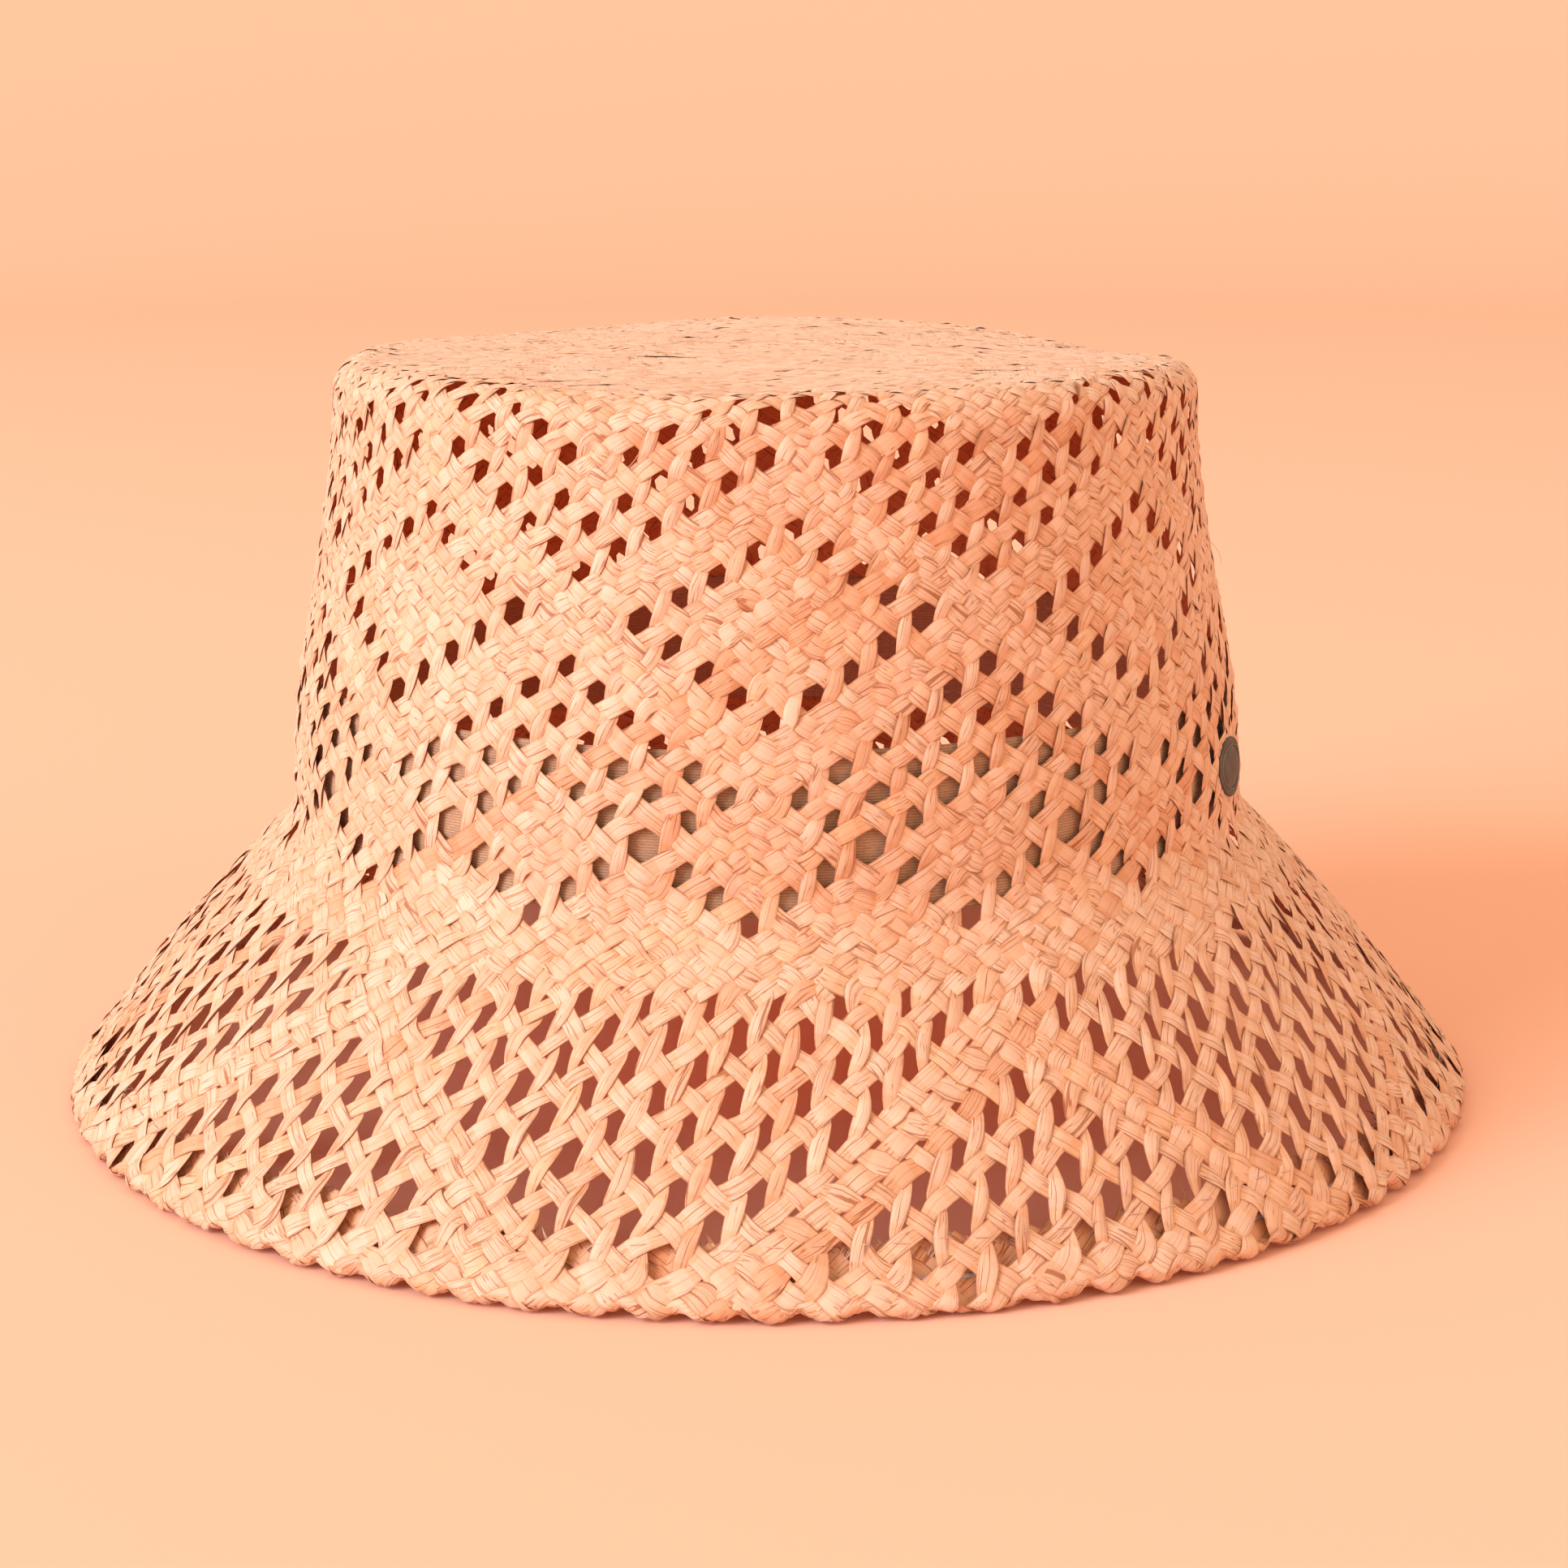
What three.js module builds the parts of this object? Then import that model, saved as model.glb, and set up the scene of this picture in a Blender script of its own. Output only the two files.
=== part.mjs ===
// A woven straw bucket hat, standing on the edge of its brim.
// Millimetres, +Z up, origin at the middle of the ring that the hat stands on, front towards -Y.
import * as THREE from "three";

// The driving sizes, from a hat for a head 580 mm round.
const hatHeight = 145;
const crownBaseRadius = 95;
const crownTopRadius = 85.2;
const topEdgeRounding = 7;
const topDome = 1;
const foldHeight = 56;
const foldRounding = 8;
const brimRadius = 142.3;
const brimBulge = 2;
const strawWall = 1.6;
const pieceGap = 0.3;
const turns = 60;

// The crown's side, from the fold up: the share of its height, and the outer radius there.
const crownSections = [
  { share: 0, radius: crownBaseRadius },
  { share: 0.33, radius: 93.4 },
  { share: 0.66, radius: 88.4 },
  { share: 1, radius: crownTopRadius },
];

// Shallow dents in the crown's top: where each is deepest, how deep, and how wide.
const crownDents = [
  { x: 74, y: 34, depth: 3.2, width: 34 },
  { x: -62, y: 58, depth: 1.2, width: 30 },
];
const dentsFadeBelow = 34;

// The brim's edge is a leaf of straw folded round a clear stiffening cord.
const edgeDepth = 11.5;
const edgeLeaf = 1;
const edgeSlot = 1.9;
const edgeFloor = 5;
const cordRadius = 0.65;
const cordUp = 7;

// The band inside the crown.
const sweatbandHeight = 27;
const sweatbandWall = 1;
const sweatbandFoot = 57.5;

// The small bare oval patch at the hat's right side.
const patchWidth = 20;
const patchHeight = 12;
const patchThickness = 1.2;
const patchAzimuth = THREE.MathUtils.degToRad(71);
const patchMiddle = 67.5;
const patchTilt = THREE.MathUtils.degToRad(-6);

const strawFinish = { color: 0xf0c9a0, roughness: 0.72, metalness: 0 };
const edgeFinish = { color: 0xecc197, roughness: 0.72, metalness: 0 };
const bandFinish = { color: 0x9c8377, roughness: 0.9, metalness: 0 };
const cordFinish = { color: 0xe8e2dc, roughness: 0.15, metalness: 0 };
const patchFinish = { color: 0x6b5a50, roughness: 0.8, metalness: 0 };

const sideHeight = hatHeight - topEdgeRounding - foldHeight;

// The crown's side as a smooth curve through the sections, in radius and height.
function crownSide(sections) {
  const points = sections.map(
    ({ share, radius }) => new THREE.Vector3(radius, 0, foldHeight + share * sideHeight),
  );
  return new THREE.CatmullRomCurve3(points, false, "centripetal");
}

// The outer radius of the crown's side at a height above the ground.
function wallRadius(height) {
  return crownSide(crownSections).getPoint((height - foldHeight) / sideHeight).x;
}

// Height of the brim's outer face above the ground, from its share of the way out.
function brimHeight(share) {
  return foldHeight * (1 - share) + brimBulge * 4 * share * (1 - share);
}

// The brim's outer face meets the ground inside the outer leaf of the edge.
function brimSlopeAtGround() {
  return Math.atan2(foldHeight + 4 * brimBulge, brimRadius - crownBaseRadius);
}

function brimFootRadius() {
  return brimRadius - edgeLeaf / Math.sin(brimSlopeAtGround());
}

// The outer line of the brim from the fold to the ground.
function brimLine(steps) {
  const foot = brimFootRadius();
  const line = [];
  for (let i = 0; i <= steps; i++) {
    const share = i / steps;
    const radius = crownBaseRadius + (foot - crownBaseRadius) * share;
    line.push(new THREE.Vector2(radius, brimHeight(share)));
  }
  return line;
}

// The crown's outer line from the middle of its top down to the fold.
function crownLine() {
  const line = [];
  const flatRadius = crownTopRadius - topEdgeRounding;
  const topSteps = 6;
  for (let i = 0; i < topSteps; i++) {
    const radius = (flatRadius * i) / topSteps;
    const dome = topDome * (1 - (radius / flatRadius) ** 2);
    line.push(new THREE.Vector2(radius, hatHeight + dome));
  }
  const cornerSteps = 4;
  for (let i = 0; i < cornerSteps; i++) {
    const angle = (Math.PI / 2) * (1 - i / cornerSteps);
    const radius = flatRadius + topEdgeRounding * Math.cos(angle);
    const height = hatHeight - topEdgeRounding + topEdgeRounding * Math.sin(angle);
    line.push(new THREE.Vector2(radius, height));
  }
  const sideSteps = 6;
  const side = crownSide(crownSections);
  for (let i = sideSteps; i > 0; i--) {
    const point = side.getPoint(i / sideSteps);
    line.push(new THREE.Vector2(point.x, point.z));
  }
  return line;
}

// The same line moved inwards by a distance, each point along its own normal.
function inset(line, distance) {
  return line.map((point, i) => {
    const before = line[Math.max(i - 1, 0)];
    const after = line[Math.min(i + 1, line.length - 1)];
    const along = after.clone().sub(before).normalize();
    const radius = point.x === 0 ? 0 : point.x + along.y * distance;
    return new THREE.Vector2(radius, point.y - along.x * distance);
  });
}

// The corner between the crown's side and the brim, rounded by an arc.
function foldCorner(steps) {
  const side = crownSide(crownSections);
  const sideDirection = side.getTangent(0).negate();
  const down = new THREE.Vector2(sideDirection.x, sideDirection.z).normalize();
  const [first, second] = brimLine(40);
  const outwards = second.clone().sub(first).normalize();
  const turn = Math.acos(THREE.MathUtils.clamp(down.dot(outwards), -1, 1));
  const reach = foldRounding * Math.tan(turn / 2);
  const corner = new THREE.Vector2(crownBaseRadius, foldHeight);
  const start = corner.clone().addScaledVector(down, -reach);
  const end = corner.clone().addScaledVector(outwards, reach);
  const bend = new THREE.QuadraticBezierCurve(start, corner, end);
  return bend.getPoints(steps);
}

// How far a point of the crown is pressed down by the dents.
function dentDrop(x, y, z) {
  const fade = THREE.MathUtils.smoothstep(z, hatHeight - dentsFadeBelow, hatHeight);
  const drops = crownDents.map((dent) => {
    const away = Math.hypot(x - dent.x, y - dent.y) / dent.width;
    return dent.depth * Math.exp(-away * away);
  });
  return fade * drops.reduce((sum, drop) => sum + drop, 0);
}

// A closed section turned once round the hat's axis.
// A lathe turns round Y, so the result is stood up on +Z.
function turned(section) {
  const geometry = new THREE.LatheGeometry(section, turns);
  geometry.rotateX(Math.PI / 2);
  return geometry;
}

function mesh(name, geometry, finish) {
  const made = new THREE.Mesh(geometry, new THREE.MeshStandardMaterial(finish));
  made.name = name;
  return made;
}

// A section listed from its outer line and its inner line, closed on itself.
function closedSection(outer, inner) {
  const section = [...outer].reverse().concat(inner);
  section.push(section[0].clone());
  return section;
}

function makeCrown() {
  const corner = foldCorner(4);
  const outer = crownLine().concat(corner.slice(0, 3));
  const inner = inset(outer, strawWall);
  const section = inner.concat([...outer].reverse());
  const geometry = turned(section);
  const place = geometry.attributes.position;
  for (let i = 0; i < place.count; i++) {
    const drop = dentDrop(place.getX(i), place.getY(i), place.getZ(i));
    place.setZ(i, place.getZ(i) - drop);
  }
  return mesh("crown", geometry, strawFinish);
}

// The brim starts a gap below the crown, and ends a gap above the folded edge.
function makeBrim() {
  const corner = foldCorner(4);
  const slope = brimSlopeAtGround();
  const foot = brimFootRadius();
  const lastRadius = foot - (edgeDepth + pieceGap) * Math.cos(slope);
  const start = corner[2].clone();
  const downhill = corner[3].clone().sub(corner[2]).normalize();
  start.addScaledVector(downhill, pieceGap);
  const lower = brimLine(8).filter((point) => point.x > corner[4].x && point.x < lastRadius - 3);
  const lastShare = (lastRadius - crownBaseRadius) / (foot - crownBaseRadius);
  const last = new THREE.Vector2(lastRadius, brimHeight(lastShare));
  const outer = [start, corner[3], corner[4], ...lower, last];
  const inner = inset(outer, strawWall);
  return mesh("brim", turned(closedSection(outer, inner)), strawFinish);
}

// A point of the edge, from its way up the brim and its way out of the brim's outer face.
function edgePoint(up, out) {
  const slope = brimSlopeAtGround();
  const radius = brimFootRadius() - up * Math.cos(slope) + out * Math.sin(slope);
  return new THREE.Vector2(radius, up * Math.sin(slope) + out * Math.cos(slope));
}

// Where a line up the brim at a given way out meets the ground.
function edgeFoot(out) {
  const up = (-out * Math.cos(brimSlopeAtGround())) / Math.sin(brimSlopeAtGround());
  const foot = edgePoint(up, out);
  foot.y = 0;
  return foot;
}

function makeBrimEdge() {
  const innerFace = -edgeSlot - edgeLeaf;
  const section = [
    edgeFoot(innerFace),
    edgeFoot(edgeLeaf),
    edgePoint(edgeDepth / 2, edgeLeaf),
    edgePoint(edgeDepth, edgeLeaf),
    edgePoint(edgeDepth, 0),
    edgePoint(edgeFloor, 0),
    edgePoint(edgeFloor, -edgeSlot),
    edgePoint(edgeDepth, -edgeSlot),
    edgePoint(edgeDepth, innerFace),
    edgePoint(edgeDepth / 2, innerFace),
  ];
  section.push(section[0].clone());
  return mesh("brim_edge", turned(section), edgeFinish);
}

// The clear cord that lies in the slot of the folded edge.
function makeEdgeCord() {
  const middle = edgePoint(cordUp, -edgeSlot / 2);
  const sides = 6;
  const section = [];
  for (let i = 0; i <= sides; i++) {
    const angle = (2 * Math.PI * (i % sides)) / sides;
    const out = new THREE.Vector2(Math.cos(angle), Math.sin(angle));
    section.push(middle.clone().addScaledVector(out, cordRadius));
  }
  return mesh("edge_cord", turned(section), cordFinish);
}

// The band follows the inside of the crown's wall, a gap away from it.
function makeSweatband() {
  const steps = 3;
  const outer = [];
  for (let i = steps; i >= 0; i--) {
    const height = sweatbandFoot + (sweatbandHeight * i) / steps;
    const radius = wallRadius(height) - strawWall - 2 * pieceGap;
    outer.push(new THREE.Vector2(radius, height));
  }
  const inner = outer.map((point) => new THREE.Vector2(point.x - sweatbandWall, point.y));
  return mesh("sweatband", turned(closedSection(outer, inner)), bandFinish);
}

// A flat oval plate that faces out of the crown's right side, a gap off its widest part.
function makeSidePatch() {
  const oval = new THREE.Shape();
  oval.absellipse(0, 0, patchWidth / 2, patchHeight / 2, 0, 2 * Math.PI, false, patchTilt);
  const geometry = new THREE.ExtrudeGeometry(oval, {
    depth: patchThickness,
    bevelEnabled: false,
    curveSegments: 16,
  });
  geometry.rotateX(Math.PI / 2);
  geometry.rotateZ(patchAzimuth);
  const radius = wallRadius(patchMiddle - patchHeight / 2) + pieceGap;
  const patch = mesh("side_patch", geometry, patchFinish);
  patch.position.set(radius * Math.sin(patchAzimuth), -radius * Math.cos(patchAzimuth), patchMiddle);
  return patch;
}

const group = new THREE.Group();
group.add(makeCrown());
group.add(makeBrim());
group.add(makeBrimEdge());
group.add(makeEdgeCord());
group.add(makeSweatband());
group.add(makeSidePatch());

export default group;
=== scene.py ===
import math
from itertools import groupby

import bpy
import numpy as np
from mathutils import Matrix, Vector


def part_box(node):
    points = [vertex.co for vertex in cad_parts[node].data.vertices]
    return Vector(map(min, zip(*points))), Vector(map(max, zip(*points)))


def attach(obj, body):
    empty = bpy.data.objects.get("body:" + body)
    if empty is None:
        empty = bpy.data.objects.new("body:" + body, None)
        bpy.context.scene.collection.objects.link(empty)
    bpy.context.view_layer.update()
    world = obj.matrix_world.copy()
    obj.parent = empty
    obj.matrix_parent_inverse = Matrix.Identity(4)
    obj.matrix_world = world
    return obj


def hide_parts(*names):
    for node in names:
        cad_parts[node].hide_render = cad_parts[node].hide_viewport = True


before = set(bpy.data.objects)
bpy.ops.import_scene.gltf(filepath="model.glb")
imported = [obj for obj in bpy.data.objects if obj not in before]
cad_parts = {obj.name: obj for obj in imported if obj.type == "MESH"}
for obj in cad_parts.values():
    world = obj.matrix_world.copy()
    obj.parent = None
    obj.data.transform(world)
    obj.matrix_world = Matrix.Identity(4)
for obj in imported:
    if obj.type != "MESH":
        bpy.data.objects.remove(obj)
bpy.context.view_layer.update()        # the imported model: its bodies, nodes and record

rng = np.random.default_rng(27)
mm = 0.001
tiny = 1e-9

# The hat's outer line, as the CAD model has it, and where the weave lies in it
hatLine = {
    "height": 145 * mm,
    "topDome": 1 * mm,
    "topRadius": 85.2 * mm,
    "topRounding": 7 * mm,
    "foldHeight": 56 * mm,
    "foldRounding": 8 * mm,
    "foldBend": 0.55,             # how much of that rounding each side of the corner gives up
    "sideShare": (0, 0.33, 0.66, 1),
    "sideRadius": (95 * mm, 93.4 * mm, 88.4 * mm, 85.2 * mm),
    "sideSpan": (90 * mm, 172 * mm),                # where along the line the crown's side lies
    "brimRadius": 143.7 * mm,
    "brimBulge": 2 * mm,
    "dents": ((74 * mm, 34 * mm, 3.2 * mm, 34 * mm), (-62 * mm, 58 * mm, 1.2 * mm, 30 * mm)),
    "dentFade": 34 * mm,
    "weaveDepth": 0.9 * mm,
    "leafGap": 2.0 * mm,          # between the two leaves of the folded edge
    "leafHeight": 13.5 * mm,
    "leafCut": 4.5 * mm,          # how much shorter some strands end in it
    "edgeMiddle": 1.6 * mm,       # how high the middle of the fold lies
    "step": 0.25 * mm,
    "points": {"top": 80, "rounding": 30, "slope": 160, "bend": 16},    # in each stretch of the line
}


def outerLine():
    # radius and height from the middle of the top to the ground
    top, fold, rounding = hatLine["height"], hatLine["foldHeight"], hatLine["topRounding"]
    flat, foldRadius, points = hatLine["topRadius"] - rounding, hatLine["sideRadius"][0], hatLine["points"]
    radius = np.linspace(0, flat, points["top"])
    turn = np.linspace(math.pi / 2, 0, points["rounding"])[1:]
    side = np.polyfit(hatLine["sideShare"], hatLine["sideRadius"], 3)
    up, out = np.linspace(1, 0, points["slope"])[1:], np.linspace(0, 1, points["slope"])[1:]
    stretches = ((radius, top + hatLine["topDome"] * (1 - (radius / flat) ** 2)),
                 (flat + rounding * np.cos(turn), top - rounding * (1 - np.sin(turn))),
                 (np.polyval(side, up), fold + up * (top - rounding - fold)),
                 (foldRadius + out * (hatLine["brimRadius"] - foldRadius),
                  fold * (1 - out) + 4 * hatLine["brimBulge"] * out * (1 - out)))
    line = np.concatenate([np.stack(stretch, 1) for stretch in stretches])
    # the fold's corner is rounded off
    corner = np.array([foldRadius, fold])
    away = np.linalg.norm(line - corner, axis=1)
    before = after = away.argmin()
    reach = hatLine["foldRounding"] * hatLine["foldBend"]
    while away[before] < reach:
        before -= 1
    while away[after] < reach:
        after += 1
    share = np.linspace(0, 1, points["bend"])[:, None]
    bend = (1 - share) ** 2 * line[before] + 2 * share * (1 - share) * corner + share ** 2 * line[after]
    return np.concatenate([line[:before], bend, line[after + 1:]])


def lengthAlong(line):
    return np.concatenate([[0], np.cumsum(np.linalg.norm(np.diff(line, axis=0), axis=1))])


def evenly(line, step):
    length = lengthAlong(line)
    at = np.linspace(0, length[-1], int(length[-1] / step) + 1)
    return np.stack([np.interp(at, length, values) for values in line.T], 1), at


def middleLine():
    # the weave's middle: in from the outer line, round the brim's edge, and back up inside it
    depth, gap, step = hatLine["weaveDepth"], hatLine["leafGap"], hatLine["step"]
    outer, at = evenly(outerLine(), step)
    tangent = np.gradient(outer, axis=0)
    tangent /= np.linalg.norm(tangent, axis=1)[:, None]
    normal = np.stack([-tangent[:, 1], tangent[:, 0]], 1)
    core = outer - (depth + gap / 2) * normal
    end = np.argmax(core[:, 1] < hatLine["edgeMiddle"])
    turn = np.linspace(0, math.pi, hatLine["points"]["bend"])[1:-1]
    spokes = np.cos(turn)[:, None] * normal[end] + np.sin(turn)[:, None] * tangent[end]
    back = int(hatLine["leafHeight"] / step)
    inside = slice(end, end - back, -1)
    return {"s": np.concatenate([at[:end + 1], at[end] + gap / 2 * turn,
                                 at[end] + gap / 2 * math.pi + step * np.arange(back)]),
            "point": np.concatenate([(outer - depth * normal)[:end + 1], core[end] + gap / 2 * spokes,
                                     (outer - (depth + gap) * normal)[inside]]),
            "normal": np.concatenate([normal[:end + 1], spokes, -normal[inside]]),
            "edge": at[end] + gap / 4 * math.pi, "down": tangent[end]}


line = middleLine()
edgeAt = line["edge"]
print("line: edge at", round(edgeAt / mm, 2), "mm along, ends at", round(line["s"][-1] / mm, 2))

# The edge is drawn up between its scallops: how far, how far in that reaches, and how they wander
scallops = {"lift": 2.5 * mm, "reach": 5 * mm, "turns": 41, "sharpness": 0.8,
            "wander": ((0.9, 3, 1), (0.7, 7, 2.2), (0.5, 13, 0)), "size": (0.66, 0.34)}
# The whole hat is a little uneven, but for the middle of its top and its edge
wobble = {"size": 0.35 * mm, "second": 0.6, "fadeTop": 60 * mm, "fadeEdge": 30 * mm}


def scallop(theta):
    wander = sum(size * np.sin(turns * theta + shift) for size, turns, shift in scallops["wander"])
    wave = np.abs(np.sin(scallops["turns"] * theta + wander))
    least, more = scallops["size"]
    size = least + more * np.sin(17 * theta + 0.6) * np.sin(5 * theta)
    return (1 - wave ** scallops["sharpness"]) * size


def eased(share):
    return share * share * (3 - 2 * share)


def surfaceAt(theta, s):
    # point and outward normal of the weave's middle
    s = np.clip(s, 0, line["s"][-1])
    radius, height, outward, upward = (np.interp(s, line["s"], values)
                                       for values in (*line["point"].T, *line["normal"].T))
    length = np.hypot(outward, upward)
    outward, upward = outward / length, upward / length
    near = np.clip(1 - np.abs(s - edgeAt) / scallops["reach"], 0, 1)
    lift = scallops["lift"] * scallop(theta) * eased(near)
    radius, height = radius - lift * line["down"][0], height - lift * line["down"][1]
    swell = wobble["size"] * (np.sin(3 * theta + 25 * s + 0.4) * np.sin(31 * s + 1.3)
                              + wobble["second"] * np.sin(5 * theta - 40 * s + 2))
    swell = swell * np.clip(s / wobble["fadeTop"], 0, 1) * np.clip((edgeAt - s) / wobble["fadeEdge"], 0, 1)
    radius, height = radius + swell * outward, height + swell * upward
    x, y = radius * np.sin(theta), -radius * np.cos(theta)
    fade = eased(np.clip((height - hatLine["height"] + hatLine["dentFade"]) / hatLine["dentFade"], 0, 1))
    for dentX, dentY, depth, width in hatLine["dents"]:
        height = height - fade * depth * np.exp(-((x - dentX) ** 2 + (y - dentY) ** 2) / width ** 2)
    normal = np.stack([outward * np.sin(theta), -outward * np.cos(theta), upward], -1)
    return np.stack([x, y, height], -1), normal


# The weave as a braid: level 0 runs through the middle of the crown's diamonds, and even levels hold
# the holes
braid = {
    "crownNodes": 96,             # crossings in a row
    "brimNodes": 120,
    "diamondAt": 1.874,           # degrees, the front diamond's middle
    "diamondNode": 4,
    "frontStretch": 0.067,        # how much wider the repeats are in front
    "frontWiden": 0.04,           # and the strands
    "crownLean": -0.039,          # nodes that a row is shifted by for each level down
    "brimStart": 1.0,             # degrees
    "brimLean": -0.1225,          # degrees for each level down
    "crownMiddle": 121.0 * mm,    # along the line
    "stepAbove": 1.975 * mm,
    "stepBelow": 2.175 * mm,
    "topLevel": -26,              # above it the top's rings find their own places
    "sideLevel": -23,             # the first of the crown's side
    "foldLevels": (24, 30),
    "brimHoles": 188.27 * mm,
    "brimStep": 2.875 * mm,
    "brimLevels": 16,
    "edgeLevels": 14,
    "endGap": 1 * mm,             # left free at the line's end
    "centreRadius": 1.8 * mm,     # the top's first ring of crossings
    "startPlace": 0.15 * mm,
    "topStep": 2.05 * mm,
    "ringCounts": (6, 8, 12, 16, 24, 32, 48, 64, 80, 96),
    "widestSpacing": 6.0 * mm,
    "ringTurn": 0.37,             # how new strands are spread from ring to ring
    "settleRounds": 60,
    "settlePull": 0.8,
    "holeRows": 7,                # how many rows a hole's push reaches
    "reachVary": 0.16 * mm,
    "leanVary": (0.55, 1.45),
    "pushDown": 0.8,              # how much weaker a push is up and down than sideways
    "brimHoleShare": 0.25,        # of the places in the last row of holes
    "middleCalm": 20 * mm,        # within it the jitter fades
    "jitter": {"top": 0.12 * mm, "side": 0.11 * mm, "fold": 0.17 * mm, "brim": 0.25 * mm, "edge": 0.3 * mm},
}


def crownTheta(c):
    phi = np.radians(braid["diamondAt"] + (c - braid["diamondNode"]) * 360 / braid["crownNodes"])
    return phi + braid["frontStretch"] * np.sin(phi)


def crownHole(c, level):
    # c counts nodes round the crown, level counts pairs of rows from the diamonds' middle
    u = (c - braid["diamondNode"] + 6) % 12 - 6
    if (c + level) % 2:
        return 0
    d = abs(u) + abs(level)
    if d == 4:
        return 2 if level == 0 else 1
    if level < 0:
        if d == 8 and u or d == 10 and level >= -10:
            return 1
        if d == 12 and -12 <= level <= -7:
            return 1 if level > -9 else 4
        return 0
    if d == 8 and 2 <= level <= 7 or d == 10 and 4 <= level <= 8:
        return 1
    if d == 12 and 6 <= level <= 9:
        return 3 if level == 9 else 1
    beside = (c - 1 + 3) % 6 - 3
    return 1 if (level, abs(beside)) in ((10, 1), (11, 2), (12, 3)) else 0


def brimHole(c, level):
    if (c + level) % 2:
        return 0
    leg = (c - 7 + 10) % 20 - 10
    if level >= 1 and abs(leg) == level - 1:
        return 0
    return 5 if level <= 8 or level == 9 and rng.random() < braid["brimHoleShare"] else 0


def makeRows():
    rows = []

    def addRow(level, s, count, part, **more):
        rows.append({"level": level, "s": s, "count": count, "part": part, **more})

    first = braid["topLevel"]
    centre, topEnd = braid["centreRadius"], braid["crownMiddle"] + first * braid["stepAbove"]
    rings = int(round((topEnd - centre) / braid["topStep"]))
    for k in range(rings):
        s = centre + (topEnd - centre) * k / rings
        count = next(n for n in braid["ringCounts"] if n * braid["widestSpacing"] >= 2 * math.pi * s)
        addRow(first - rings + k, s, count, "top")
    crownCount, brimCount = braid["crownNodes"], braid["brimNodes"]
    foldFirst, foldLast = braid["foldLevels"]
    for level in range(first, foldFirst + 1):
        step = braid["stepAbove"] if level < 0 else braid["stepBelow"]
        c = np.arange(crownCount) + (level % 2) / 2 + braid["crownLean"] * level
        addRow(level, braid["crownMiddle"] + level * step, crownCount,
               "side" if level >= braid["sideLevel"] else "top", theta=crownTheta(c),
               hole=[0 if level % 2 else crownHole(k, level // 2) for k in range(crownCount)])
    start = rows[-1]["s"]
    for level in range(foldFirst + 1, foldLast):
        share = (level - foldFirst) / (foldLast - foldFirst)
        addRow(level, start + share * (braid["brimHoles"] - start),
               crownCount + int(round(share * (brimCount - crownCount))), "fold")
    for k in range(braid["brimLevels"] + braid["edgeLevels"]):
        c = np.arange(brimCount) + (k % 2) / 2
        addRow(foldLast + k, braid["brimHoles"] + k * braid["brimStep"], brimCount,
               "brim" if k <= braid["brimLevels"] else "edge",
               theta=np.radians(braid["brimStart"] + 360 / brimCount * c + braid["brimLean"] * k),
               hole=[0 if k % 2 else brimHole(j, k // 2) for j in range(brimCount)])
    return [row for row in rows if row["s"] < line["s"][-1] - braid["endGap"]]


def around(angle):
    return (angle + math.pi) % (2 * math.pi) - math.pi


def linkRows(upper, lower, turn):
    # each gap between two upper nodes meets one lower node, and the lower nodes left over start new strands
    count, more = upper["count"], lower["count"] - upper["count"]
    starts = {int((k + turn) * lower["count"] / more) % lower["count"] for k in range(more)}
    takers = np.array([m for m in range(lower["count"]) if m not in starts])
    theta = upper["theta"]
    gap = theta + around(np.roll(theta, -1) - theta) / 2
    if "theta" not in lower:
        guess = np.arange(lower["count"]) * (2 * math.pi / lower["count"])
        lower["theta"] = guess + np.angle(np.mean(np.exp(1j * (gap - guess[takers]))))
    miss = [np.sum(around(gap - lower["theta"][np.roll(takers, -k)]) ** 2) for k in range(count)]
    met = np.roll(takers, -int(np.argmin(miss)))
    for key, step in (("fromLeft", 0), ("fromRight", 1)):
        lower[key] = np.full(lower["count"], -1)
        lower[key][met] = (np.arange(count) + step) % count
    upper["goRight"] = met
    upper["goLeft"] = np.roll(met, 1)


def settleRows(rows):
    # nodes of the free rows move to the middle of their neighbours
    free = [i for i, row in enumerate(rows) if row["free"]]
    for settling in range(braid["settleRounds"]):
        for i in free:
            row = rows[i]
            theta = row["theta"]
            below = rows[i + 1]["theta"]
            pull = around(below[row["goRight"]] - theta) + around(below[row["goLeft"]] - theta)
            weight = np.full(row["count"], 2.0)
            if i:
                above = rows[i - 1]["theta"]
                has = row["fromLeft"] >= 0
                pull += np.where(has, around(above[row["fromLeft"]] - theta)
                                 + around(above[row["fromRight"]] - theta), 0)
                weight += np.where(has, 2.0, 0)
            row["theta"] = theta + braid["settlePull"] * pull / weight


# Kinds of hole: how far it pushes its neighbours out, or draws them in, how far that reaches, and how
# far it leans
holeKinds = {
    1: (0.27 * mm, 3.2 * mm, 0.38 * mm),     # usual
    2: (0.8 * mm, 4.2 * mm, 0.40 * mm),      # at the side corners of the diamonds
    3: (1.6 * mm, 5.4 * mm, 0.30 * mm),      # the big ones above the fold
    4: (-0.55 * mm, 3.2 * mm, 0.30 * mm),    # slits near the rim
    5: (0.10 * mm, 3.6 * mm, 0.75 * mm),     # in the brim
}


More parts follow.
